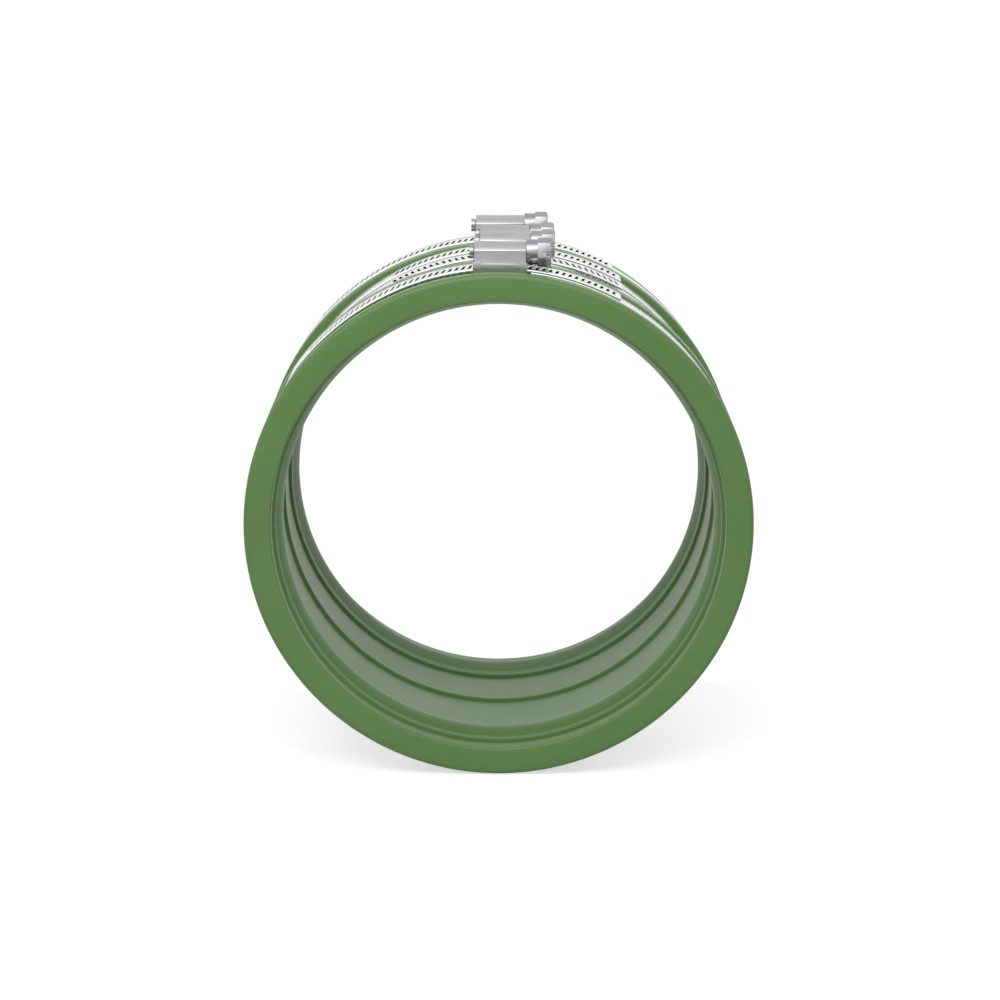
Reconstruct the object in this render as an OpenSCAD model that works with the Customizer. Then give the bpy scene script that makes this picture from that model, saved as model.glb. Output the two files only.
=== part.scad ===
// Flexible pipe coupling: a ribbed rubber sleeve, a stainless shear ring and four worm drive clamps.
// The sleeve stands on one end, its axis along +Z, with the origin on the axis at mid-length.
// The clamp housings are at +Y, and the screw heads point to +X.

/* [Sleeve] */
// Outside radius of the sleeve's end lips and ridges
sleeve_r = 80; // [70:1:95]
// Length of the sleeve
sleeve_l = 116; // [112:1:130]
// Wall thickness at the plain bore
wall_t = 8.6; // [7.5:0.1:11]
// Depth of the middle recess, which carries the shear ring
recess_depth = 4; // [3.5:0.1:5]
// Width of each ridge between an outer clamp's seat and the middle recess
ridge_w = 8.6; // [6:0.1:10]
// Distance from each end face to the middle of the outer clamp's seat
seat_mid = 20.6; // [19.5:0.1:21.5]
// Depth of the outer clamps' seats
seat_depth = 0.85; // [0.75:0.05:1.5]
// Radius of the rounded outer edges of the end faces
lip_round = 1.6; // [0.5:0.1:3]
// Radius of the rounded edges of the seats, the ridges and the bore
edge_round = 0.7; // [0.3:0.1:1]

/* [Sealing pads] */
// Depth of each pad's outer step below the end face
pad_start = 7.9; // [6:0.1:9]
// Depth of each pad's inner step below the end face
pad_end = 27.2; // [25:0.1:30]
// Height of the pads and of the middle rib above the bore
pad_h = 1; // [0.5:0.1:1.5]
// Depth of the sealing bead's middle below the end face
bead_mid = 16.6; // [15.5:0.1:18]
// Half width of the sealing bead at its foot
bead_half = 6.1; // [4:0.1:6.5]
// Height of the sealing bead above the pad
bead_h = 1.9; // [1:0.1:2.5]
// Width of the plain land on top of the sealing bead
bead_land = 1.2; // [0.6:0.1:2]
// Fullness of the bead's flanks: 1 is a straight flank, 2 a parabola
bead_full = 1.35; // [1:0.05:2]
// Width of the middle rib in the bore
rib_w = 1.3; // [0.8:0.1:3]

/* [Shear ring] */
// Thickness of the shear ring
ring_t = 0.5; // [0.3:0.05:0.8]
// Gap between each edge of the shear ring and its recess
ring_gap = 0.7; // [0.3:0.1:2]
// How far the slack shear ring stands off its recess under the housings
ring_lift = 1.8; // [1.2:0.1:2]
// Distance from the sleeve's axis to the middle of the slack bands' crown
crown_shift = 5.5; // [4.5:0.1:7]

/* [Bands] */
// Width of a clamp band
band_w = 14; // [12:0.2:14.2]
// Thickness of a clamp band
band_t = 0.7; // [0.5:0.05:0.8]
// Distance from mid-length to the middle of each inner clamp
inner_mid = 10; // [9.6:0.1:12]
// How far the slack inner bands stand off the shear ring's circle under the housings
band_lift = 2.4; // [2.4:0.1:3]
// Angle from the housing to the free end of the band's tail
tail_angle = 28.5; // [20:0.5:40]
// Pitch of the slots
slot_pitch = 2.12; // [1.8:0.02:3]
// Length of a slot across the band
slot_l = 7.8; // [6:0.1:9]
// Width of a slot along the band
slot_w = 1.05; // [0.6:0.05:1.3]
// Slant of the slots
slot_slant = 9; // [0:1:15]
// Distance from the tail's free end to the first slot's middle, in slot pitches
first_slot = 1.2; // [1:0.1:3]
// Slots on the outer clamps' bands
outer_slots = 48; // [30:1:52]
// Slots on the inner clamps' bands
inner_slots = 36; // [30:1:40]

/* [Worm housings] */
// Length of a housing along its screw
housing_l = 16.2; // [14:0.1:18]
// Width of a housing's tunnel
tunnel_w = 9.8; // [9:0.1:11]
// Radius of the crown of a housing's roof
crown_r = 6.2; // [5.6:0.1:8]
// Sheet thickness of a housing
housing_t = 0.6; // [0.4:0.05:0.8]
// Thickness of a housing's end walls
end_t = 0.8; // [0.5:0.1:1.2]
// Height of a housing's side walls below the crown's edge
wall_h = 4.6; // [4:0.1:5]
// Sheet thickness of a saddle
saddle_t = 0.5; // [0.3:0.05:0.5]
// Length of a saddle along the band
saddle_l = 17; // [15:0.2:19]
// Length of each of a saddle's four lock tabs
tab_l = 2.4; // [1.5:0.1:4]
// Turn of the inner clamps about the sleeve's axis, in degrees
inner_turn = 1.4; // [0:0.1:4]
// Turn of the outer clamps about the sleeve's axis, in degrees
outer_turn = 0.3; // [0:0.1:4]

/* [Worm screws] */
// Height of the screw's axis above the band's tail
screw_h = 3.65; // [3.5:0.05:4]
// Radius of the worm's body inside the housing
worm_r = 2.2; // [1.8:0.05:2.4]
// Radius of the screw's two journals in the housing's end walls
journal_r = 1.7; // [1.4:0.05:1.9]
// Radius of the collar behind the head
collar_r = 4.05; // [3.6:0.05:4.1]
// Length of the collar
collar_l = 3.6; // [2:0.1:5]
// Width of the hexagon head across its flats
hex_af = 8; // [7:0.1:8.5]
// Length of the hexagon head
hex_l = 4.2; // [3:0.1:5]
// How far the screw's riveted tip stands out of the housing
tip_l = 1.4; // [0.6:0.1:3]
// Radius of the riveted tip
tip_r = 2.1; // [2:0.05:2.6]
// Chamfer round the outer end of the head
head_chamfer = 0.6; // [0.2:0.1:1]
// Width of the driver slot in the head
driver_w = 1.2; // [0.8:0.1:2]
// Depth of the driver slot in the head
driver_depth = 1.6; // [0.8:0.1:2.5]

/* [Fits] */
// Gap between pieces that lie on each other
lay_gap = 0.05; // [0.03:0.01:0.1]
// Gap between a band's tail and the turn below it
tail_gap = 0.12; // [0.1:0.01:0.3]
// Running fit of a journal in its hole, on the radius
run_fit = 0.06; // [0.03:0.01:0.1]
// End play of a screw between its housing's end walls
end_play = 0.15; // [0.1:0.05:0.3]
// Side clearance between a band and its seat or saddle
side_gap = 0.3; // [0.2:0.05:0.4]

/* [Hidden] */
$fn = 96;

rubber = "olivedrab";
steel = "lightgray";
bright = "silver";

// Clamps are numbered from the sleeve's lower end, 0 to 3. The inner two ride on the shear ring.
half_l = sleeve_l / 2;
outer_z = half_l - seat_mid;
bore_r = sleeve_r - wall_t;
function is_inner(i) = i == 1 || i == 2;
function clamp_z(i) = [-outer_z, -inner_mid, inner_mid, outer_z][i];
function clamp_turn(i) = is_inner(i) ? inner_turn : outer_turn;
function clamp_slots(i) = is_inner(i) ? inner_slots : outer_slots;
// The third clamp from the lower end was fitted the other way round, so its slots lean back.
function clamp_slant(i) = i == 2 ? -slot_slant : slot_slant;

// Seats and layers, as radii before any stand-off
seat_r = sleeve_r - seat_depth;
seat_w = band_w + 2 * side_gap;
recess_r = sleeve_r - recess_depth;
recess_w = sleeve_l - 2 * (seat_mid + seat_w / 2 + ridge_w);
ring_w = recess_w - 2 * ring_gap;
ring_in = recess_r + lay_gap;
ring_out = ring_in + ring_t;
function base_r(i) = is_inner(i) ? ring_out : seat_r;
function lift(i) = is_inner(i) ? band_lift : 0;
function shift(i) = is_inner(i) ? crown_shift : 0;
function band_in(i) = base_r(i) + lay_gap;
layer = band_t + tail_gap;
// Heights above the sleeve's axis, straight under the housing
function tail_top(i) = band_in(i) + lift(i) + layer + band_t;
function screw_y(i) = tail_top(i) + screw_h;
function saddle_in(i) = band_in(i) + lift(i) - lay_gap - saddle_t;

// Angles along a band, from the housing's middle, clockwise seen from the upper end
step = slot_pitch / sleeve_r * 180 / PI;
ramp_start = -15;
ramp_end = -8;
ramp_lap = 0.5;
fixed_end = -6;

// Housing heights above the tail
foot_y = lay_gap;
foot_top = foot_y + housing_t;
foot_half = band_w / 2 + side_gap - lay_gap;
roof_edge = foot_y + wall_h;
roof_rise = crown_r - sqrt(pow(crown_r, 2) - pow(tunnel_w / 2, 2));
roof_top = roof_edge + roof_rise;
flange_half = foot_half + lay_gap;
tab_gap = 0.5;
tab_in = tunnel_w / 2 + tab_gap;
pocket_gap = 0.2;
// How far a cut runs past what it cuts
over = 1;
// How far the head's turned end clears its corners
head_clear = 0.1;

// Sector from angle a to angle b, less than half a turn, clockwise from +Y
module sector(a, b) {
    far = 3 * sleeve_r;
    mid = (a + b) / 2;
    polygon([[0, 0],
             [far * sin(a), far * cos(a)],
             [far * sin(mid), far * cos(mid)],
             [far * sin(b), far * cos(b)]]);
}

// Outline of a loop. The upper part of a slack one stands off by rise, on a tighter crown that is set off by off.
module loop_outline(r, rise, off) {
    circle(r = r, $fn = 180);
    if (off > 0) crown_disc(r, rise, off);
}

module loop_band(r, t, rise, off) {
    difference() {
        loop_outline(r + t, rise, off);
        loop_outline(r, rise, off);
    }
}

// Disc under a loop's crown
module crown_disc(r, rise, off) {
    translate([0, off]) circle(r = r + rise - off, $fn = 180);
}

// Point of a loop at angle a from the +Y axis, on its crown
function crown_point(r, rise, off, a) =
    let (crown = r + rise - off,
         reach = off * cos(a) + sqrt(pow(crown, 2) - pow(off * sin(a), 2)))
    [reach * sin(a), reach * cos(a)];

module clamp_place(i) {
    translate([0, 0, clamp_z(i)]) rotate([0, 0, -clamp_turn(i)]) children();
}

// Points of one sealing bead's flank, from its foot to its land, as depth below the end face and radius
function flank(side) = [
    for (n = [0 : 5])
        let (u = 1 - n / 5, reach = bead_land / 2 + u * (bead_half - bead_land / 2))
        [bead_mid + side * reach, bore_r - pad_h - bead_h * (1 - pow(u, bead_full))]
];

// Half section of the bore, from the pad's outer step to the middle rib, as depth and radius
function bore_points() = concat(
    [[pad_start, bore_r], [pad_start, bore_r - pad_h]],
    flank(-1),
    [for (n = [5 : -1 : 0]) flank(1)[n]],
    [[pad_end, bore_r - pad_h], [pad_end, bore_r],
     [half_l - rib_w / 2, bore_r], [half_l - rib_w / 2, bore_r - pad_h]]
);

// Points of a rounded corner: centre, radius and the angles it runs through
function corner(x, y, r, a, b) = [for (n = [0 : 4]) let (t = a + (b - a) * n / 4) [x + r * cos(t), y + r * sin(t)]];

// Half section of the outside, from the recess to the end face, as depth and radius
function outer_points() =
    let (recess_edge = half_l - recess_w / 2,
         seat_in = seat_mid + seat_w / 2,
         seat_out = seat_mid - seat_w / 2,
         e = edge_round)
    concat(
        [[recess_edge, recess_r]],
        corner(recess_edge - e, sleeve_r - e, e, 0, 90),
        corner(seat_in + e, sleeve_r - e, e, 90, 180),
        [[seat_in, seat_r], [seat_out, seat_r]],
        corner(seat_out - e, sleeve_r - e, e, 0, 90),
        corner(lip_round, sleeve_r - lip_round, lip_round, 90, 180),
        corner(edge_round, bore_r + edge_round, edge_round, 180, 270)
    );

// Whole section of the sleeve as radius and height: the upper half, then the lower one back
function sleeve_points() =
    let (half = concat(outer_points(), bore_points()))
    concat([for (p = half) [p[1], half_l - p[0]]],
           [for (n = [len(half) - 1 : -1 : 0]) [half[n][1], half[n][0] - half_l]]);

// Pocket that an outer clamp's saddle presses into the rubber
module saddle_pocket(i) {
    wide = flange_half + saddle_t + pocket_gap;
    clamp_place(i)
        translate([0, 0, -wide])
            linear_extrude(2 * wide)
                intersection() {
                    difference() {
                        circle(r = sleeve_r + over, $fn = 180);
                        circle(r = saddle_in(i) - lay_gap, $fn = 180);
                    }
                    translate([-saddle_l / 2 - pocket_gap, 0])
                        square([saddle_l + 2 * pocket_gap, 2 * sleeve_r]);
                }
}

module sleeve() {
    color(rubber)
        difference() {
            rotate_extrude($fn = 180) polygon(sleeve_points());
            saddle_pocket(0);
            saddle_pocket(3);
        }
}

module shear_ring() {
    color(bright)
        translate([0, 0, -ring_w / 2])
            linear_extrude(ring_w)
                loop_band(ring_in, ring_t, ring_lift, crown_shift);
}

// One side of the ramp, as share of the layer, share of the band's thickness and angle. Its ends reach into
// the turn and the tail, where they lie inside the band's thickness.
function ramp_side(side, inside) =
    [[0, inside, ramp_start - 2 * ramp_lap], [0, side, ramp_start - ramp_lap],
     [1, side, ramp_end + ramp_lap], [1, inside, ramp_end + 2 * ramp_lap]];

function ramp_points() =
    let (upper = ramp_side(0.96, 0.8))
    concat(ramp_side(0.04, 0.2), [for (n = [3 : -1 : 0]) upper[n]]);

// One turn of band: the fixed end under the housing, round the sleeve, up the ramp and on to the tail
module band_strip(i) {
    r = band_in(i);
    rise = lift(i);
    off = shift(i);
    linear_extrude(band_w)
        union() {
            difference() {
                loop_band(r, band_t, rise, off);
                sector(ramp_start, fixed_end);
            }
            polygon([for (p = ramp_points())
                crown_point(r + p[0] * layer + p[1] * band_t, rise, off, p[2])]);
            intersection() {
                loop_band(r + layer, band_t, rise, off);
                sector(ramp_end, tail_angle);
            }
        }
}

// Middle of the band's thickness at angle a: on the tail, on the ramp or on the turn
function band_point(i, a) =
    let (low = band_in(i) + band_t / 2,
         part = (a - ramp_start) / (ramp_end - ramp_start),
         from = crown_point(low, lift(i), shift(i), ramp_start),
         to = crown_point(low + layer, lift(i), shift(i), ramp_end))
    a > ramp_end ? crown_point(low + layer, lift(i), shift(i), a)
    : a < ramp_start ? crown_point(low, lift(i), shift(i), a)
    : from + part * (to - from);

// The slots end a little short of the tail's free end. On the tail they stop short of the turn below it.
module slot_cuts(i) {
    for (n = [0 : clamp_slots(i) - 1]) {
        a = tail_angle - (n + first_slot) * step;
        below = a > ramp_end - step ? tail_gap / 2 : band_t;
        p = band_point(i, a);
        translate([p[0], p[1], band_w / 2])
            rotate([0, 0, -atan2(p[0], p[1] - shift(i))])
                rotate([0, clamp_slant(i), 0])
                    translate([-slot_w / 2, -band_t / 2 - below, -slot_l / 2])
                        cube([slot_w, 2 * band_t + below, slot_l]);
    }
}

module band(i) {
    color(bright)
        clamp_place(i)
            translate([0, 0, -band_w / 2])
                difference() {
                    band_strip(i);
                    slot_cuts(i);
                }
}

// Saddle: a curved plate under the band, two side flanges and four tabs that lock the housing's feet
module saddle(i) {
    wide = flange_half + saddle_t;
    lock = tail_top(i) + foot_top + lay_gap;
    color(steel)
        clamp_place(i)
            difference() {
                union() {
                    intersection() {
                        translate([0, 0, -wide])
                            linear_extrude(2 * wide)
                                loop_band(saddle_in(i) - lift(i), saddle_t, lift(i), shift(i));
                        translate([-saddle_l / 2, 0, -wide]) cube([saddle_l, 2 * sleeve_r, 2 * wide]);
                    }
                    for (side = [-1, 1]) {
                        translate([-saddle_l / 2, 0, side > 0 ? flange_half : -wide])
                            linear_extrude(saddle_t)
                                difference() {
                                    square([saddle_l, lock]);
                                    translate([saddle_l / 2, 0])
                                        crown_disc(saddle_in(i) - lift(i) + saddle_t / 2, lift(i), shift(i));
                                }
                        for (end = [-1, 1])
                            translate([end * (saddle_l - tab_l) / 2 - tab_l / 2, lock, side > 0 ? tab_in : -wide])
                                cube([tab_l, saddle_t, wide - tab_in]);
                    }
                }
            }
}

// Section of a housing's tunnel, width along X and height above the tail along Y, with walls set in by inset
module tunnel_profile(inset, low) {
    intersection() {
        translate([-tunnel_w / 2 + inset, low]) square([tunnel_w - 2 * inset, roof_top - low]);
        translate([0, roof_top - crown_r]) circle(r = crown_r - inset);
    }
}

module foot_profile() {
    translate([-foot_half, foot_y]) square([2 * foot_half, housing_t]);
}

// Housing: a folded tunnel with a crowned roof, two feet and two end walls that carry the screw
module housing(i) {
    color(steel)
        clamp_place(i)
            difference() {
                translate([-housing_l / 2, tail_top(i), 0])
                    rotate([0, 90, 0])
                        difference() {
                            linear_extrude(housing_l) {
                                tunnel_profile(0, foot_y);
                                foot_profile();
                            }
                            translate([0, 0, end_t])
                                linear_extrude(housing_l - 2 * end_t)
                                    tunnel_profile(housing_t, foot_y - over);
                        }
                translate([-housing_l / 2 - over, screw_y(i), 0])
                    rotate([0, 90, 0])
                        cylinder(r = journal_r + run_fit, h = housing_l + 2 * over, $fn = 48);
            }
}

// Hexagon standing on z = 0, with its corners turned off at the outer end
module hex_head() {
    corner_r = hex_af / 2 / cos(30);
    turned_r = corner_r + head_clear;
    intersection() {
        rotate([0, 0, 15]) cylinder(r = corner_r, h = hex_l, $fn = 6);
        union() {
            cylinder(r = turned_r, h = hex_l - head_chamfer, $fn = 48);
            translate([0, 0, hex_l - head_chamfer])
                cylinder(r1 = turned_r, r2 = corner_r - head_chamfer, h = head_chamfer, $fn = 48);
        }
    }
}

// Screw: riveted tip, journal, worm, journal, collar and slotted hexagon head, along +Z from the tip
module screw_shape() {
    inner_l = housing_l - 2 * end_t - 2 * end_play;
    full_l = housing_l + 2 * end_play;
    translate([0, 0, -full_l / 2 - tip_l]) cylinder(r = tip_r, h = tip_l, $fn = 48);
    translate([0, 0, -full_l / 2]) cylinder(r = journal_r, h = full_l, $fn = 48);
    translate([0, 0, -inner_l / 2]) cylinder(r = worm_r, h = inner_l, $fn = 48);
    translate([0, 0, full_l / 2]) cylinder(r = collar_r, h = collar_l, $fn = 48);
    translate([0, 0, full_l / 2 + collar_l]) hex_head();
}

module worm_screw(i) {
    head_end = housing_l / 2 + end_play + collar_l + hex_l;
    color(steel)
        clamp_place(i)
            translate([0, screw_y(i), 0])
                rotate([0, 90, 0])
                    difference() {
                        screw_shape();
                        translate([0, 0, head_end])
                            cube([2 * hex_af, driver_w, 2 * driver_depth], center = true);
                    }
}

sleeve();
shear_ring();
band(0);  // band_1
band(1);  // band_2
band(2);  // band_3
band(3);  // band_4
saddle(0);  // saddle_1
saddle(1);  // saddle_2
saddle(2);  // saddle_3
saddle(3);  // saddle_4
housing(0);  // housing_1
housing(1);  // housing_2
housing(2);  // housing_3
housing(3);  // housing_4
worm_screw(0);  // worm_screw_1
worm_screw(1);  // worm_screw_2
worm_screw(2);  // worm_screw_3
worm_screw(3);  // worm_screw_4
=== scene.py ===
"""Looks of a flexible pipe coupling: a ribbed rubber sleeve, a shear ring and four worm drive clamps.

Lengths are in millimetres up to the point where a mesh is made, and mm() turns them into metres.
"""
import math
import bmesh
import bpy
import numpy as np
from mathutils import Matrix, Vector
from mathutils.geometry import tessellate_polygon


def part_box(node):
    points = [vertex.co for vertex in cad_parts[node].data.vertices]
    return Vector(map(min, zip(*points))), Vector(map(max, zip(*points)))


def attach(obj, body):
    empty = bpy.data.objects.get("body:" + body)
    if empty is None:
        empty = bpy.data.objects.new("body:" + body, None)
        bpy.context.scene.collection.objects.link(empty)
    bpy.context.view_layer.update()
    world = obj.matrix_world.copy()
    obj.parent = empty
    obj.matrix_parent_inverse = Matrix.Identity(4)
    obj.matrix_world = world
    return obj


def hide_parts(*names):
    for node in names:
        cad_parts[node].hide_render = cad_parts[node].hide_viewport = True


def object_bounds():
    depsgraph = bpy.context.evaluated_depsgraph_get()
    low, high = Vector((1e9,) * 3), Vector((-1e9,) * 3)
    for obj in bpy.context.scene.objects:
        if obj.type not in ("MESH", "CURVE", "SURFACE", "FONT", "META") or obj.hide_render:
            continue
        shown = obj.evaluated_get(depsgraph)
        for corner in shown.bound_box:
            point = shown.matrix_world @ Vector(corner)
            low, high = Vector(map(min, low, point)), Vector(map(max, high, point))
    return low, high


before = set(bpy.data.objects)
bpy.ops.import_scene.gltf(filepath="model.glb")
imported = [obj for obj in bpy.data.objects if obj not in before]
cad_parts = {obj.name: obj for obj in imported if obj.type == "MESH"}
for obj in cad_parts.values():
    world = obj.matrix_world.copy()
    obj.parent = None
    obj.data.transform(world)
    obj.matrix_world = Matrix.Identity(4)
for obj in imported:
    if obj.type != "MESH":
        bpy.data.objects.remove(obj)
cad_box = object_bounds()

# Sleeve, as in the part's source
SLEEVE_R = 80.0
SKIN_R = 79.97       # keeps the finer mesh inside the solid's own facets
SLEEVE_L = 116.0
HALF_L = SLEEVE_L / 2
BORE_R = 71.4
RECESS_R = 76.0
RECESS_W = 43.0
SEAT_MID = 20.6
SEAT_DEPTH = 0.85
LIP_ROUND = 1.6
EDGE_ROUND = 0.7
PAD_START, PAD_END, PAD_H = 7.9, 27.2, 1.0
BEAD_MID, BEAD_HALF, BEAD_H, BEAD_LAND, BEAD_FULL = 16.6, 6.1, 1.9, 1.2, 1.35
RIB_W = 1.3

# Clamps and shear ring, as in the part's source
RING_T, RING_W, RING_LIFT = 0.5, 41.6, 1.8
CROWN_SHIFT = 5.5
BAND_W, BAND_T, BAND_LIFT = 14.0, 0.7, 2.4
LAY_GAP, TAIL_GAP, SIDE_GAP = 0.05, 0.12, 0.3
TAIL_ANGLE = 28.5
SLOT_PITCH, SLOT_L, SLOT_W, SLOT_SLANT = 2.12, 7.8, 1.05, 9.0
OUTER_SLOTS, INNER_SLOTS = 50, 36
HOUSING_L, END_T = 16.2, 0.8
SADDLE_L, SADDLE_T = 17.0, 0.5
SCREW_H, THREAD_R = 3.65, 2.75
INNER_TURN, OUTER_TURN = 1.4, 0.3

# What the photo shows of the rubber and the bands where it is finer than the part's source
SEAT_FLOOR_R = 78.6          # seat of an outer band
NEAR_LIP_W = 5.6             # plain rim before the seat at the near end
FAR_LIP_R = 78.9             # lip behind the farthest band
GROOVE_W, GROOVE_DEPTH = 0.8, 0.6
OUTER_IN, OUTER_LAYER = 78.65, 0.75
OUTER_RAMP = (-60.0, -53.0)  # angles where an outer band climbs on itself
FIXED_ANGLE = 7.0            # the fixed end lies just past the saddle
# Rise of an inner band's upper turn over its lower one, as share of a layer at angles in degrees
RISE_ANGLES, RISE_SHARES = (-32.0, -8.0, 0.0, 13.0, 28.5), (0.0, 0.43, 0.61, 1.02, 1.95)

# Small rounds and clearances of the dressed pieces
STEP_ROUND, RECESS_ROUND, SEAT_ROUND, SLOT_ROUND = 0.25, 0.4, 0.2, 0.3
POCKET_GAP = 0.2
FIRST_SLOT = 1.2             # pitches from the tail's free end to its first slot
BAND_EDGE, SADDLE_EDGE, HOUSING_EDGE, SCREW_EDGE = 0.07, 0.1, 0.16, 0.12
THREAD_RIB, THREAD_END_GAP = 0.55, 1.2

LAYER = BAND_T + TAIL_GAP
SLOT_STEP = math.degrees(SLOT_PITCH / SLEEVE_R)
CLAMPS = (1, 2, 3, 4)
ROOT = "coupling"

# Camera, worked out from the edges of the sleeve's end face and bore
CAMERA_BACK = 12.0547 * SLEEVE_R
CAMERA_UP = 2.5492 * SLEEVE_R
CAMERA_PITCH = 0.1994
CAMERA_LENS = 113.39
CAMERA_SHIFT = 0.00135

# Stage and lamps, in metres and watts
FLOOR_SIDE, FLOOR_GAP = 6.0, 0.0002
LYING_WHITE = (0.15, 4.2)        # share of the added white, and its strength
STANDING_WHITE = (0.98, 1.03)
SURROUND = 0.36                  # what the white surround gives as light
LAMPS = {                        # place, size and power
    "lamp_above": ((0.1, 1.3, 0.9), 1.2, 4.0),
    "lamp_front": ((-0.15, 0.5, 0.45), 0.5, 1.55),
}


def mm(value):
    return value / 1000


def is_inner(clamp):
    return clamp in (2, 3)


def clamp_turn(clamp):
    return math.radians(INNER_TURN if is_inner(clamp) else OUTER_TURN)


def clamp_z(clamp):
    """Height of a clamp's middle, from its housing in the frame, in millimetres."""
    low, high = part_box(f"housing_{clamp}")
    return (low.z + high.z) * 500


def lift(clamp):
    return BAND_LIFT if is_inner(clamp) else 0.0


def shift(clamp):
    return CROWN_SHIFT if is_inner(clamp) else 0.0


def band_in(clamp):
    """Radius of a band's inside, before its stand-off."""
    base = RECESS_R + LAY_GAP + RING_T if is_inner(clamp) else SLEEVE_R - SEAT_DEPTH
    return base + LAY_GAP


def tail_top(clamp):
    return band_in(clamp) + lift(clamp) + LAYER + BAND_T


def screw_y(clamp):
    return tail_top(clamp) + SCREW_H


def loop_reach(r, rise, off, angle):
    """Distance from the axis to a loop at an angle from +Y: its round, or its raised crown where that is further."""
    if off == 0:
        return r
    crown = r + rise - off
    return max(r, off * math.cos(angle) + math.sqrt(crown ** 2 - (off * math.sin(angle)) ** 2))


def link(mesh, name):
    obj = bpy.data.objects.new(name, mesh)
    bpy.context.scene.collection.objects.link(obj)
    return obj


def make_piece(name, verts, faces, sharp=32.0):
    """Object from points in millimetres, with its edges sharp past an angle."""
    mesh = bpy.data.meshes.new(name)
    mesh.from_pydata([(mm(x), mm(y), mm(z)) for x, y, z in verts], [], faces)
    mesh.validate()
    mesh.update()
    mesh.shade_smooth()
    mesh.set_sharp_from_angle(angle=math.radians(sharp))
    return link(mesh, name)


def from_bmesh(name, bm, sharp=32.0):
    mesh = bpy.data.meshes.new(name)
    bm.to_mesh(mesh)
    bm.free()
    mesh.shade_smooth()
    mesh.set_sharp_from_angle(angle=math.radians(sharp))
    return link(mesh, name)


def lathe(name, section, angles, edit=None):
    """Solid of revolution about Z from a closed section of (radius, height) points, walls facing out."""
    verts = []
    for a in angles:
        for r, z in section:
            x, y = r * math.sin(a), r * math.cos(a)
            verts.append(edit(x, y, z, r, a) if edit else (x, y, z))
    count = len(section)
    faces = []
    for i in range(len(angles)):
        j = (i + 1) % len(angles)
        for k in range(count):
            n = (k + 1) % count
            faces.append((i * count + k, j * count + k, j * count + n, i * count + n))
    return make_piece(name, verts, faces)


# Sleeve


def arc(x, y, r, start, end, steps=5):
    """Points of a rounded corner, its angles in degrees."""
    turn = [math.radians(start + (end - start) * n / steps) for n in range(steps + 1)]
    return [(x + r * math.cos(t), y + r * math.sin(t)) for t in turn]


def bead_flank(side, steps=12):
    """Depth and radius along one flank of a sealing bead, from its foot to its land."""
    points = []
    for n in range(steps + 1):
        u = 1 - n / steps
        reach = BEAD_LAND / 2 + u * (BEAD_HALF - BEAD_LAND / 2)
        points.append((BEAD_MID + side * reach, BORE_R - PAD_H - BEAD_H * (1 - u ** BEAD_FULL)))
    return points


def groove(foot, r, side):
    """Narrow groove at the foot of a step in the bore: side is -1 before the step and 1 past it."""
    points = [(GROOVE_W, r), (GROOVE_W - 0.15, r + GROOVE_DEPTH), (0.15, r + GROOVE_DEPTH), (0.0, r - 0.1)]
    if side > 0:
        points.reverse()
    return [(foot + side * x, y) for x, y in points]


def bore_points():
    """Inside of one half, from its end face to mid-length."""
    pad = BORE_R - PAD_H
    step = STEP_ROUND
    rib = HALF_L - RIB_W / 2
    points = groove(PAD_START, BORE_R, -1)
    points += arc(PAD_START + step, pad + step, step, 180, 270, 3)
    points += bead_flank(-1) + bead_flank(1)[::-1]
    points += arc(PAD_END - step, pad + step, step, 270, 360, 3)
    points += groove(PAD_END, BORE_R, 1)
    points += [(PAD_END + 4 + 5 * n, BORE_R) for n in range(5)]
    points += groove(rib, BORE_R, -1)
    points += arc(rib + step, pad + step, step, 180, 270, 3)
    return points


def skin_points(lip_r, lip_w):
    """Outside of one half, from mid-length to its end face, for a lip of a radius and width."""
    e = EDGE_ROUND
    recess = HALF_L - RECESS_W / 2
    inner = SEAT_MID + BAND_W / 2 + SIDE_GAP
    rise = lip_r - SEAT_FLOOR_R
    foot, top = min(SEAT_ROUND, rise / 3), min(e, rise * 0.6)
    points = [(HALF_L - 0.5 - 5 * n, RECESS_R) for n in range(5)]
    points += arc(recess + RECESS_ROUND, RECESS_R + RECESS_ROUND, RECESS_ROUND, 270, 180, 3)
    points += arc(recess - e, SLEEVE_R - e, e, 0, 90)
    points += [(inner + e + 0.15, SLEEVE_R)]
    points += arc(inner + e, SLEEVE_R - e, e, 90, 180)
    points += arc(inner - SEAT_ROUND, SEAT_FLOOR_R + SEAT_ROUND, SEAT_ROUND, 0, -90, 3)
    points += arc(lip_w + foot, SEAT_FLOOR_R + foot, foot, 270, 180, 3)
    points += arc(lip_w - top, lip_r - top, top, 0, 90)
    points += arc(LIP_ROUND, lip_r - LIP_ROUND, LIP_ROUND, 90, 180, 8)
    points += [(0, lip_r - 4), (0, BORE_R + 2)]
    points += arc(e, BORE_R + e, e, 180, 270)
    return points


def sleeve_section():
    """Whole section as radius and height: the near half, then the far one back."""
    near = skin_points(SLEEVE_R, NEAR_LIP_W) + bore_points()
    far = skin_points(FAR_LIP_R, SEAT_MID - BAND_W / 2 - SIDE_GAP) + bore_points()
    return [(r, HALF_L - depth) for depth, r in near] + [(r, depth - HALF_L) for depth, r in reversed(far)]


def dense_angles():
    """Angles round the sleeve, closer together under the saddles."""
    coarse = list(np.arange(10.5, 349.6, 1.5))
    fine = list(np.arange(-10.5, 10.4, 0.375))
    return [math.radians(a) for a in fine + coarse]


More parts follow.
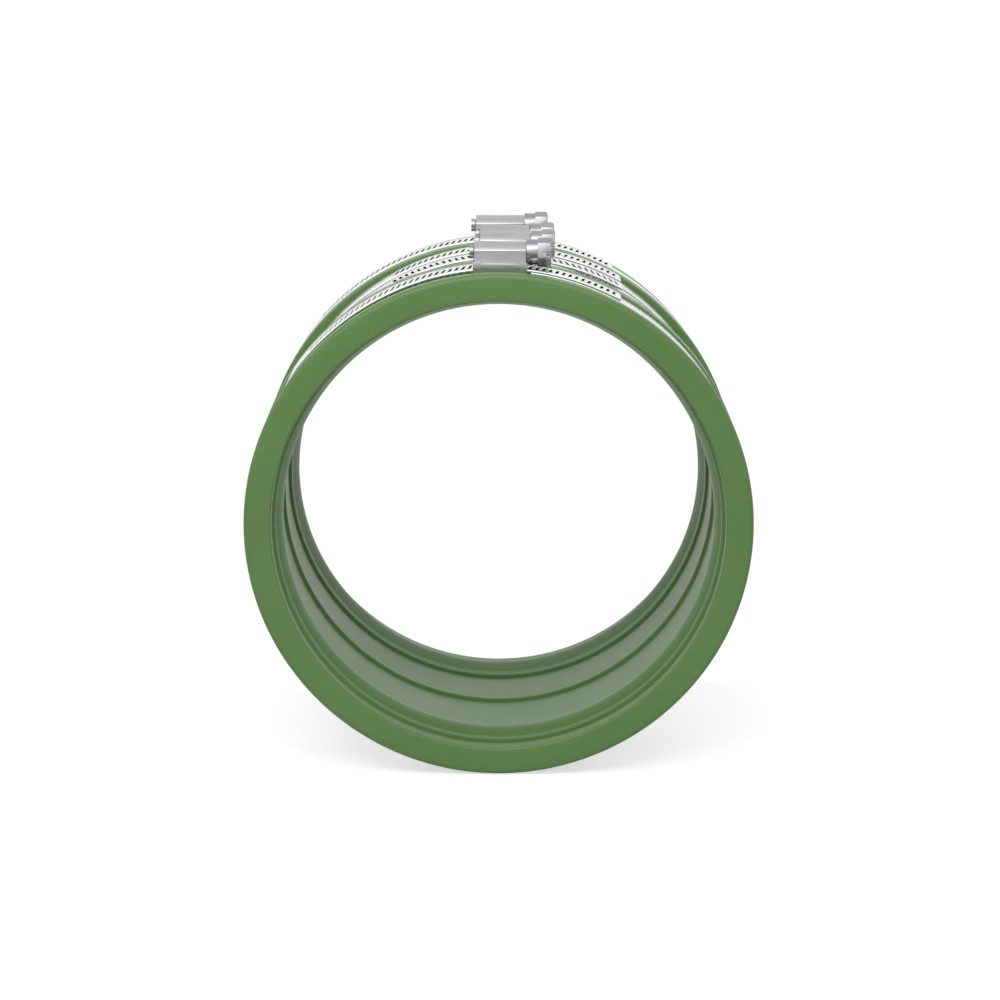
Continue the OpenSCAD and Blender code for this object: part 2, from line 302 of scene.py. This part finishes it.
def make_sleeve():
    """Rubber sleeve, with a pocket under each outer clamp's saddle."""
    pocket_r = band_in(1) - LAY_GAP - SADDLE_T - LAY_GAP
    half_w = BAND_W / 2 + SIDE_GAP + EDGE_ROUND + 0.05
    half_l = SADDLE_L / 2 + POCKET_GAP
    middles = [(clamp_z(c), clamp_turn(c)) for c in (1, 4)]

    def press(x, y, z, r, a):
        for z0, turn in middles:
            if abs(z - z0) < half_w and r > pocket_r and abs(math.sin(a - turn) * r) < half_l and y > 0:
                r = pocket_r
        r = min(r, SKIN_R)
        return r * math.sin(a), r * math.cos(a), z

    sleeve = lathe("rubber_sleeve", sleeve_section(), dense_angles(), press)
    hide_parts("sleeve")
    return sleeve


def make_shear_ring():
    """Rolled strip with rounded edges, raised under the housings."""
    r0, r1, half = RECESS_R + LAY_GAP, RECESS_R + LAY_GAP + RING_T, RING_W / 2
    round_r = RING_T / 2
    section = [(r1, z) for z in np.linspace(-half + round_r, half - round_r, 9)]
    section += [(x, z) for x, z in arc(r0 + round_r, half - round_r, round_r, 30, 150, 3)]
    section += [(r0, z) for z in np.linspace(half - round_r, -half + round_r, 9)]
    section += [(x, z) for x, z in arc(r0 + round_r, -half + round_r, round_r, 210, 330, 3)]

    def raise_crown(x, y, z, r, a):
        reach = loop_reach(r, RING_LIFT, CROWN_SHIFT, a)
        return reach * math.sin(a), reach * math.cos(a), z

    angles = [math.radians(a) for a in range(360)]
    ring = lathe("shear_ring_strip", section, angles, raise_crown)
    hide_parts("shear_ring")
    return ring


# Bands


def slot_outline(slant):
    """Rounded slot, its long way across the band, leaning by slant."""
    r = SLOT_W / 2
    corner = SLOT_ROUND
    lean = math.tan(math.radians(slant))
    points = []
    for sx, sy, start in ((1, 1, 0), (-1, 1, 90), (-1, -1, 180), (1, -1, 270)):
        points += arc(sx * (r - corner), sy * (SLOT_L / 2 - corner), corner, start, start + 90, 2)
    return [(x + y * lean, y) for x, y in points]


def strip_cell(slant):
    """One pitch of flat band with its slot, as a mesh in the XY plane."""
    half_p, half_w = SLOT_PITCH / 2, BAND_W / 2
    rim = [(-half_p, -half_w), (half_p, -half_w), (half_p, -SLOT_L / 3), (half_p, 0), (half_p, SLOT_L / 3),
           (half_p, half_w), (-half_p, half_w), (-half_p, SLOT_L / 3), (-half_p, 0), (-half_p, -SLOT_L / 3)]
    hole = slot_outline(slant)
    flat = [Vector((x, y, 0)) for x, y in rim + hole]
    faces = tessellate_polygon([flat[:len(rim)], flat[len(rim):]])
    mesh = bpy.data.meshes.new("strip_cell")
    mesh.from_pydata([tuple(v) for v in flat], [], [tuple(f) for f in faces])
    return link(mesh, "strip_cell")


def input_socket(tree, name, kind, value):
    socket = tree.interface.new_socket(name=name, in_out="INPUT", socket_type=kind)
    if value is not None:
        socket.default_value = value
    return socket


def strip_tree():
    """Geometry nodes: copies one pitch of strip along X and welds the copies."""
    tree = bpy.data.node_groups.new("Slotted strip", "GeometryNodeTree")
    input_socket(tree, "Cell", "NodeSocketGeometry", None)
    input_socket(tree, "Slots", "NodeSocketInt", 10)
    input_socket(tree, "Pitch", "NodeSocketFloat", SLOT_PITCH)
    input_socket(tree, "Material", "NodeSocketMaterial", None)
    tree.interface.new_socket(name="Strip", in_out="OUTPUT", socket_type="NodeSocketGeometry")
    nodes, links = tree.nodes, tree.links
    source = nodes.new("NodeGroupInput")
    offset = nodes.new("ShaderNodeCombineXYZ")
    links.new(source.outputs["Pitch"], offset.inputs["X"])
    line = nodes.new("GeometryNodeMeshLine")
    line.mode = "OFFSET"
    links.new(source.outputs["Slots"], line.inputs["Count"])
    links.new(offset.outputs[0], line.inputs["Offset"])
    copies = nodes.new("GeometryNodeInstanceOnPoints")
    links.new(line.outputs[0], copies.inputs["Points"])
    links.new(source.outputs["Cell"], copies.inputs["Instance"])
    real = nodes.new("GeometryNodeRealizeInstances")
    links.new(copies.outputs[0], real.inputs[0])
    weld = nodes.new("GeometryNodeMergeByDistance")
    weld.inputs["Distance"].default_value = 0.01
    links.new(real.outputs[0], weld.inputs["Geometry"])
    paint = nodes.new("GeometryNodeSetMaterial")
    links.new(weld.outputs[0], paint.inputs["Geometry"])
    links.new(source.outputs["Material"], paint.inputs["Material"])
    sink = nodes.new("NodeGroupOutput")
    links.new(paint.outputs[0], sink.inputs[0])
    return tree


def run_tree(obj, tree, **values):
    """Runs a geometry tree on an object with named inputs and returns the baked mesh."""
    modifier = obj.modifiers.new(tree.name, "NODES")
    modifier.node_group = tree
    keys = {item.name: item.identifier for item in tree.interface.items_tree if item.in_out == "INPUT"}
    for name, value in values.items():
        modifier[keys[name]] = value
    bpy.context.view_layer.update()
    graph = bpy.context.evaluated_depsgraph_get()
    mesh = bpy.data.meshes.new_from_object(obj.evaluated_get(graph))
    obj.modifiers.remove(modifier)
    return mesh


def flat_band(clamp, tree, material):
    """Flat band: end piece, slotted stretch and plain stretch. X is the length from the tail's free end."""
    cell = strip_cell(-SLOT_SLANT if clamp == 3 else SLOT_SLANT)
    count = INNER_SLOTS if is_inner(clamp) else OUTER_SLOTS
    mesh = run_tree(cell, tree, Slots=count, Pitch=SLOT_PITCH, Material=material)
    bpy.data.objects.remove(cell)
    bm = bmesh.new()
    bm.from_mesh(mesh)
    bpy.data.meshes.remove(mesh)
    first = FIRST_SLOT * SLOT_PITCH
    bmesh.ops.translate(bm, verts=bm.verts, vec=(first, 0, 0))
    half_w = BAND_W / 2
    rows = [-half_w, -SLOT_L / 3, 0, SLOT_L / 3, half_w]

    def column(x, rows=rows):
        return [bm.verts.new((x, y, 0)) for y in rows]

    def quads(one, two):
        for k in range(len(one) - 1):
            bm.faces.new((one[k], two[k], two[k + 1], one[k + 1]))

    # The tail's free end has its corners cut off in an arc
    ends = [(0.0, 0.9), (0.2, 0.95), (0.5, 0.985), (first - SLOT_PITCH / 2, 1.0)]
    columns = [column(x, [y * (share if abs(y) == half_w else 1) for y in rows]) for x, share in ends]
    for one, two in zip(columns, columns[1:]):
        quads(one, two)
    start = first + (count - 0.5) * SLOT_PITCH
    total = (TAIL_ANGLE - (FIXED_ANGLE - 360)) / SLOT_STEP * SLOT_PITCH
    steps = math.ceil((total - start) / SLOT_PITCH)
    columns = [column(start + (total - start) * n / steps) for n in range(steps + 1)]
    for one, two in zip(columns, columns[1:]):
        quads(one, two)
    bmesh.ops.remove_doubles(bm, verts=bm.verts, dist=0.02)
    bmesh.ops.recalc_face_normals(bm, faces=bm.faces)
    return bm


def band_reach(clamp, angle, height):
    """Distance from the axis to a point of a band at an angle in degrees and a height in its thickness."""
    if is_inner(clamp):
        r = band_in(clamp) + LAYER * float(np.interp(angle, RISE_ANGLES, RISE_SHARES)) + height
    else:
        low, high = OUTER_RAMP
        part = min(1.0, max(0.0, (angle - low) / (high - low)))
        r = OUTER_IN + OUTER_LAYER * part * part * (3 - 2 * part) + height
    return loop_reach(r, lift(clamp), shift(clamp), math.radians(angle))


def mark_painted_slot_shade(bm, clamp):
    """Attribute that is 1 on the cut faces of the slots, where the band steel paints near-black shade."""
    layer = bm.faces.layers.float.new("painted_slot_shade")
    bm.normal_update()
    z0, turn = clamp_z(clamp), math.degrees(clamp_turn(clamp))
    for f in bm.faces:
        c = f.calc_center_median()
        out = Vector((c.x, c.y, 0)).normalized()
        angle = math.degrees(math.atan2(c.x, c.y)) - turn
        cut = abs(f.normal.dot(out)) < 0.5 and abs(c.z - mm(z0)) < mm(SLOT_L / 2 + 0.2)
        f[layer] = float(cut and angle < TAIL_ANGLE - 0.8)


def make_band(clamp, tree, material):
    """Wraps the flat band round the sleeve, gives it its thickness and breaks its edges."""
    flat = flat_band(clamp, tree, material)
    flat.verts.ensure_lookup_table()
    z0, turn = clamp_z(clamp), math.degrees(clamp_turn(clamp))
    verts, faces = [], []
    for height in (0.0, BAND_T):
        for v in flat.verts:
            angle = TAIL_ANGLE - v.co.x / SLOT_PITCH * SLOT_STEP
            reach = band_reach(clamp, angle, height)
            a = math.radians(angle + turn)
            verts.append((reach * math.sin(a), reach * math.cos(a), z0 + v.co.y))
    count = len(flat.verts)
    for f in flat.faces:
        loop = [v.index for v in f.verts]
        faces.append(tuple(loop))
        faces.append(tuple(count + k for k in reversed(loop)))
    for e in flat.edges:
        if len(e.link_faces) == 1:
            a, b = e.verts[0].index, e.verts[1].index
            faces.append((a, b, count + b, count + a))
    flat.free()
    name = f"band_{clamp}_strip"
    rough = make_piece(name + "_rough", verts, faces)
    bm = bmesh.new()
    bm.from_mesh(rough.data)
    bpy.data.objects.remove(rough)
    bmesh.ops.recalc_face_normals(bm, faces=bm.faces)
    edges = [e for e in bm.edges if len(e.link_faces) == 2 and e.calc_face_angle() > math.radians(60)]
    bmesh.ops.bevel(bm, geom=edges, offset=mm(BAND_EDGE), segments=1, affect="EDGES", profile=0.7)
    mark_painted_slot_shade(bm, clamp)
    band = from_bmesh(name, bm, 50.0)
    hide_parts(f"band_{clamp}")
    return band


# Saddles, housings and screws


def refined(node, name, width, segments=2):
    """Copy of a CAD node with its faces welded and its folds and edges rounded."""
    bm = bmesh.new()
    bm.from_mesh(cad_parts[node].data)
    bmesh.ops.remove_doubles(bm, verts=bm.verts, dist=1e-6)
    bmesh.ops.dissolve_limit(bm, angle_limit=math.radians(0.6), verts=bm.verts, edges=bm.edges)
    edges = [e for e in bm.edges if len(e.link_faces) == 2 and e.calc_face_angle() > math.radians(35)]
    bmesh.ops.bevel(bm, geom=edges, offset=mm(width), segments=segments, affect="EDGES", profile=0.6,
                    clamp_overlap=True)
    piece = from_bmesh(name, bm, 40.0)
    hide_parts(node)
    return piece


def thread_tree():
    """Geometry nodes: a worm's thread, a tapered rib that climbs a helix about Z."""
    tree = bpy.data.node_groups.new("Worm thread", "GeometryNodeTree")
    input_socket(tree, "Seed", "NodeSocketGeometry", None)
    input_socket(tree, "Turns", "NodeSocketFloat", 6.0)
    input_socket(tree, "Radius", "NodeSocketFloat", 2.5)
    input_socket(tree, "Height", "NodeSocketFloat", 12.0)
    input_socket(tree, "Rib", "NodeSocketFloat", 0.5)
    input_socket(tree, "Material", "NodeSocketMaterial", None)
    tree.interface.new_socket(name="Thread", in_out="OUTPUT", socket_type="NodeSocketGeometry")
    nodes, links = tree.nodes, tree.links
    source = nodes.new("NodeGroupInput")
    helix = nodes.new("GeometryNodeCurveSpiral")
    helix.inputs["Resolution"].default_value = 28
    links.new(source.outputs["Turns"], helix.inputs["Rotations"])
    links.new(source.outputs["Radius"], helix.inputs["Start Radius"])
    links.new(source.outputs["Radius"], helix.inputs["End Radius"])
    links.new(source.outputs["Height"], helix.inputs["Height"])
    rib = nodes.new("GeometryNodeCurvePrimitiveCircle")
    rib.inputs["Resolution"].default_value = 8
    links.new(source.outputs["Rib"], rib.inputs["Radius"])
    sweep = nodes.new("GeometryNodeCurveToMesh")
    sweep.inputs["Fill Caps"].default_value = True
    links.new(helix.outputs[0], sweep.inputs["Curve"])
    links.new(rib.outputs[0], sweep.inputs["Profile Curve"])
    real = nodes.new("GeometryNodeRealizeInstances")
    links.new(sweep.outputs[0], real.inputs[0])
    paint = nodes.new("GeometryNodeSetMaterial")
    links.new(real.outputs[0], paint.inputs["Geometry"])
    links.new(source.outputs["Material"], paint.inputs["Material"])
    sink = nodes.new("NodeGroupOutput")
    links.new(paint.outputs[0], sink.inputs[0])
    return tree


def make_thread(clamp, tree, material):
    """Thread of one worm, between the housing's end walls."""
    rib = THREAD_RIB
    length = HOUSING_L - 2 * END_T - 2 * THREAD_END_GAP
    seed = link(bpy.data.meshes.new("thread_seed"), "thread_seed")
    mesh = run_tree(seed, tree, Turns=length / SLOT_PITCH, Radius=THREAD_R - rib, Height=length, Rib=rib,
                    Material=material)
    bpy.data.objects.remove(seed)
    turn = clamp_turn(clamp)
    y = screw_y(clamp)
    place = (Matrix.Translation((mm(y * math.sin(turn)), mm(y * math.cos(turn)), mm(clamp_z(clamp))))
             @ Matrix.Rotation(-turn, 4, "Z") @ Matrix.Rotation(math.pi / 2, 4, "Y")
             @ Matrix.Scale(mm(1), 4) @ Matrix.Translation((0, 0, -length / 2)))
    mesh.transform(place)
    mesh.shade_smooth()
    thread = link(mesh, f"worm_thread_{clamp}")
    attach(thread, f"screw_{clamp}")
    return thread


# Materials


def new_group(name, inputs, outputs):
    """Shader group with named inputs, given as name to (kind, default), and named outputs."""
    tree = bpy.data.node_groups.new(name, "ShaderNodeTree")
    for label, (kind, value) in inputs.items():
        tree.interface.new_socket(name=label, in_out="INPUT", socket_type=kind).default_value = value
    for label, kind in outputs.items():
        tree.interface.new_socket(name=label, in_out="OUTPUT", socket_type=kind)
    return tree, tree.nodes.new("NodeGroupInput"), tree.nodes.new("NodeGroupOutput")


def noise(tree, scale, detail=3.0, rough=0.5, vector=None):
    node = tree.nodes.new("ShaderNodeTexNoise")
    node.inputs["Scale"].default_value = scale
    node.inputs["Detail"].default_value = detail
    node.inputs["Roughness"].default_value = rough
    if vector is not None:
        tree.links.new(vector, node.inputs["Vector"])
    return node


def ramp(tree, value, low, high, start=0.35, end=0.65):
    """Maps a noise value to the range from low to high."""
    node = tree.nodes.new("ShaderNodeMapRange")
    node.inputs["From Min"].default_value = start
    node.inputs["From Max"].default_value = end
    node.inputs["To Min"].default_value = low
    node.inputs["To Max"].default_value = high
    tree.links.new(value, node.inputs["Value"])
    return node.outputs[0]


def math_node(tree, operation, a, b):
    node = tree.nodes.new("ShaderNodeMath")
    node.operation = operation
    for socket, value in zip(node.inputs, (a, b)):
        if isinstance(value, (int, float)):
            socket.default_value = value
        else:
            tree.links.new(value, socket)
    return node.outputs[0]


def blend_colors(tree, share, one, two):
    node = tree.nodes.new("ShaderNodeMix")
    node.data_type = "RGBA"
    tree.links.new(share, node.inputs["Factor"])
    for key, value in (("A", one), ("B", two)):
        socket = [s for s in node.inputs if s.name == key and s.type == "RGBA"][0]
        if isinstance(value, tuple):
            socket.default_value = value
        else:
            tree.links.new(value, socket)
    return [s for s in node.outputs if s.type == "RGBA"][0]


def grain_group():
    """Fine surface grain: a height for bump and a mask of larger, faint clouds."""
    tree, source, sink = new_group(
        "Surface grain",
        {"Fine": ("NodeSocketFloat", 2500.0), "Clouds": ("NodeSocketFloat", 40.0),
         "Stretch": ("NodeSocketVector", (1.0, 1.0, 1.0))},
        {"Height": "NodeSocketFloat", "Clouds": "NodeSocketFloat"})
    place = tree.nodes.new("ShaderNodeTexCoord")
    squash = tree.nodes.new("ShaderNodeVectorMath")
    squash.operation = "MULTIPLY"
    tree.links.new(place.outputs["Object"], squash.inputs[0])
    tree.links.new(source.outputs["Stretch"], squash.inputs[1])
    fine = noise(tree, 1.0, 2.0, 0.6, squash.outputs[0])
    tree.links.new(source.outputs["Fine"], fine.inputs["Scale"])
    clouds = noise(tree, 1.0, 3.0, 0.55, place.outputs["Object"])
    tree.links.new(source.outputs["Clouds"], clouds.inputs["Scale"])
    tree.links.new(fine.outputs[0], sink.inputs["Height"])
    tree.links.new(ramp(tree, clouds.outputs[0], 0.0, 1.0, 0.3, 0.7), sink.inputs["Clouds"])
    return tree


def start_material(name):
    material = bpy.data.materials.new(name)
    material.use_nodes = True
    tree = material.node_tree
    shader = [n for n in tree.nodes if n.type == "BSDF_PRINCIPLED"][0]
    return material, tree, shader


def add_bump(tree, shader, height, strength, distance):
    bump = tree.nodes.new("ShaderNodeBump")
    bump.inputs["Strength"].default_value = strength
    bump.inputs["Distance"].default_value = distance
    tree.links.new(height, bump.inputs["Height"])
    tree.links.new(bump.outputs[0], shader.inputs["Normal"])


def use_group(tree, group, **values):
    node = tree.nodes.new("ShaderNodeGroup")
    node.node_tree = group
    for name, value in values.items():
        node.inputs[name].default_value = value
    return node


def rubber_material(grain):
    """Moulded green rubber: satin, with a fine mould grain and faint bloom."""
    material, tree, shader = start_material("green_rubber")
    surface = use_group(tree, grain, Fine=3800.0, Clouds=28.0)
    color = blend_colors(tree, surface.outputs["Clouds"], (0.112, 0.238, 0.062, 1), (0.124, 0.258, 0.071, 1))
    tree.links.new(color, shader.inputs["Base Color"])
    tree.links.new(ramp(tree, surface.outputs["Clouds"], 0.36, 0.42, 0.0, 1.0), shader.inputs["Roughness"])
    shader.inputs["Specular IOR Level"].default_value = 0.5
    add_bump(tree, shader, surface.outputs["Height"], 0.12, 0.0002)
    return material


def steel_material(name, grain, dark, light, rough, stretch, bump=0.06, fine=900.0, walls=False):
    """Stainless steel: rolled or folded sheet with faint drawn grain, brighter and duller in clouds, and where asked
    with painted shade that mixes the slot faces to near black.
    """
    material, tree, shader = start_material(name)
    surface = use_group(tree, grain, Fine=fine, Clouds=60.0, Stretch=stretch)
    color = blend_colors(tree, surface.outputs["Clouds"], dark, light)
    if walls:
        # Painted shade: the cut faces of the slots are mixed to near black, standing in for the shade inside the
        # slots.
        mark = tree.nodes.new("ShaderNodeAttribute")
        mark.attribute_name = "painted_slot_shade"
        color = blend_colors(tree, mark.outputs["Fac"], color, (0.02, 0.02, 0.02, 1))
    tree.links.new(color, shader.inputs["Base Color"])
    shader.inputs["Metallic"].default_value = 1.0
    low, high = rough
    streaks = ramp(tree, surface.outputs["Height"], low, high)
    tree.links.new(streaks, shader.inputs["Roughness"])
    add_bump(tree, shader, surface.outputs["Height"], bump, 0.0001)
    return material


def dress(obj, material):
    obj.data.materials.clear()
    obj.data.materials.append(material)
    return obj


# Stage, lamps and camera


def seen_directly(tree, mirrors):
    """1 for what the camera sees by itself or through glass, and in mirrors too where asked."""
    path = tree.nodes.new("ShaderNodeLightPath")
    seen = math_node(tree, "MAXIMUM", path.outputs["Is Camera Ray"], path.outputs["Is Transmission Ray"])
    return math_node(tree, "MAXIMUM", seen, path.outputs["Is Glossy Ray"]) if mirrors else seen


def mix_shaders(tree, share, one, two):
    mix = tree.nodes.new("ShaderNodeMixShader")
    if isinstance(share, (int, float)):
        mix.inputs[0].default_value = share
    else:
        tree.links.new(share, mix.inputs[0])
    tree.links.new(one, mix.inputs[1])
    tree.links.new(two, mix.inputs[2])
    return mix.outputs[0]


def make_plane(name, corners, white, solid):
    """Pale plane of the stage. It adds a share of white for the camera and keeps the soft shadow in the rest.

    It is clear from behind, and one that isn't solid is clear to the light as well.
    """
    share, strength = white
    mesh = bpy.data.meshes.new(name)
    mesh.from_pydata(corners, [], [(0, 1, 2, 3)])
    plane = link(mesh, name)
    material, tree, shader = start_material(name + "_white")
    shader.inputs["Base Color"].default_value = (0.9, 0.9, 0.9, 1)
    shader.inputs["Roughness"].default_value = 0.6
    glow = tree.nodes.new("ShaderNodeEmission")
    glow.inputs["Color"].default_value = (1, 1, 1, 1)
    glow.inputs["Strength"].default_value = strength
    clear = tree.nodes.new("ShaderNodeBsdfTransparent").outputs[0]
    pale = mix_shaders(tree, share, shader.outputs[0], glow.outputs[0])
    front = mix_shaders(tree, seen_directly(tree, not solid), shader.outputs[0] if solid else clear, pale)
    side = tree.nodes.new("ShaderNodeNewGeometry")
    output = [n for n in tree.nodes if n.type == "OUTPUT_MATERIAL"][0]
    tree.links.new(mix_shaders(tree, side.outputs["Backfacing"], front, clear), output.inputs["Surface"])
    mesh.materials.append(material)


def make_stage():
    """The pale floor that the coupling lies on in the photo, and the one that it stands on in its own frame."""
    side = FLOOR_SIDE
    y = cad_box[0].y - FLOOR_GAP
    z = cad_box[0].z - FLOOR_GAP
    lying = [(-side, y, -side), (-side, y, side), (side, y, side), (side, y, -side)]
    standing = [(-side, -side, z), (side, -side, z), (side, side, z), (-side, side, z)]
    make_plane("floor_lying", lying, LYING_WHITE, True)
    make_plane("floor_standing", standing, STANDING_WHITE, False)


def make_world():
    """White surround for the camera and for mirrors, and an even light of its own."""
    world = bpy.data.worlds.new("studio")
    bpy.context.scene.world = world
    world.use_nodes = True
    tree = world.node_tree
    back = [n for n in tree.nodes if n.type == "BACKGROUND"][0]
    light = (SURROUND, SURROUND, SURROUND, 1)
    color = blend_colors(tree, seen_directly(tree, True), light, (1.0, 1.0, 1.0, 1))
    tree.links.new(color, back.inputs["Color"])
    back.inputs["Strength"].default_value = 1.0


def add_lamp(name, place, size, watts):
    """Square lamp that faces the part's middle."""
    lamp = bpy.data.lights.new(name, "AREA")
    lamp.size = size
    lamp.energy = watts
    obj = link(lamp, name)
    obj.location = place
    obj.visible_camera = False
    obj.rotation_euler = (-Vector(place)).to_track_quat("-Z", "Y").to_euler()
    return obj


def make_lamps():
    for name, (place, size, watts) in LAMPS.items():
        add_lamp(name, place, size, watts)


def make_camera():
    data = bpy.data.cameras.new("camera")
    data.lens = CAMERA_LENS
    data.sensor_width = 36.0
    data.shift_x = CAMERA_SHIFT
    data.clip_start, data.clip_end = 0.01, 50.0
    camera = link(data, "camera")
    camera.location = (0, mm(CAMERA_UP), mm(HALF_L + CAMERA_BACK))
    camera.rotation_euler = (-CAMERA_PITCH, 0, 0)
    bpy.context.scene.camera = camera


bpy.context.scene.view_settings.view_transform = "Standard"
make_camera()
make_stage()
make_world()
make_lamps()

grain = grain_group()
rubber = rubber_material(grain)
# The shear ring's steel is its own grey, made darker than the bands' as painted shade for the gap between the inner
# bands.
ring_steel = steel_material("ring_steel", grain, (0.30, 0.31, 0.31, 1), (0.38, 0.39, 0.39, 1),
                            (0.2, 0.3), (1, 1, 8))
# The bands' slot faces get painted shade.
band_steel = steel_material("band_steel", grain, (0.74, 0.74, 0.74, 1), (0.85, 0.85, 0.85, 1),
                            (0.16, 0.24), (1, 1, 8), walls=True)
housing_steel = steel_material("housing_steel", grain, (0.42, 0.42, 0.43, 1), (0.48, 0.48, 0.49, 1),
                               (0.3, 0.4), (0.2, 1, 1))
screw_steel = steel_material("screw_steel", grain, (0.30, 0.30, 0.31, 1), (0.37, 0.37, 0.38, 1),
                             (0.26, 0.36), (8, 1, 1))

sleeve = dress(make_sleeve(), rubber)
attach(sleeve, ROOT)
ring = dress(make_shear_ring(), ring_steel)
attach(ring, ROOT)

slots = strip_tree()
threads = thread_tree()
for clamp in CLAMPS:
    band = dress(make_band(clamp, slots, band_steel), band_steel)
    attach(band, ROOT)
    plate = refined(f"saddle_{clamp}", f"saddle_{clamp}_plate", SADDLE_EDGE)
    saddle = dress(plate, housing_steel)
    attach(saddle, ROOT)
    shell = refined(f"housing_{clamp}", f"housing_{clamp}_shell", HOUSING_EDGE)
    housing = dress(shell, housing_steel)
    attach(housing, ROOT)
    turned = refined(f"worm_screw_{clamp}", f"worm_screw_{clamp}_turned", SCREW_EDGE)
    screw = dress(turned, screw_steel)
    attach(screw, f"screw_{clamp}")
    dress(make_thread(clamp, threads, screw_steel), screw_steel)
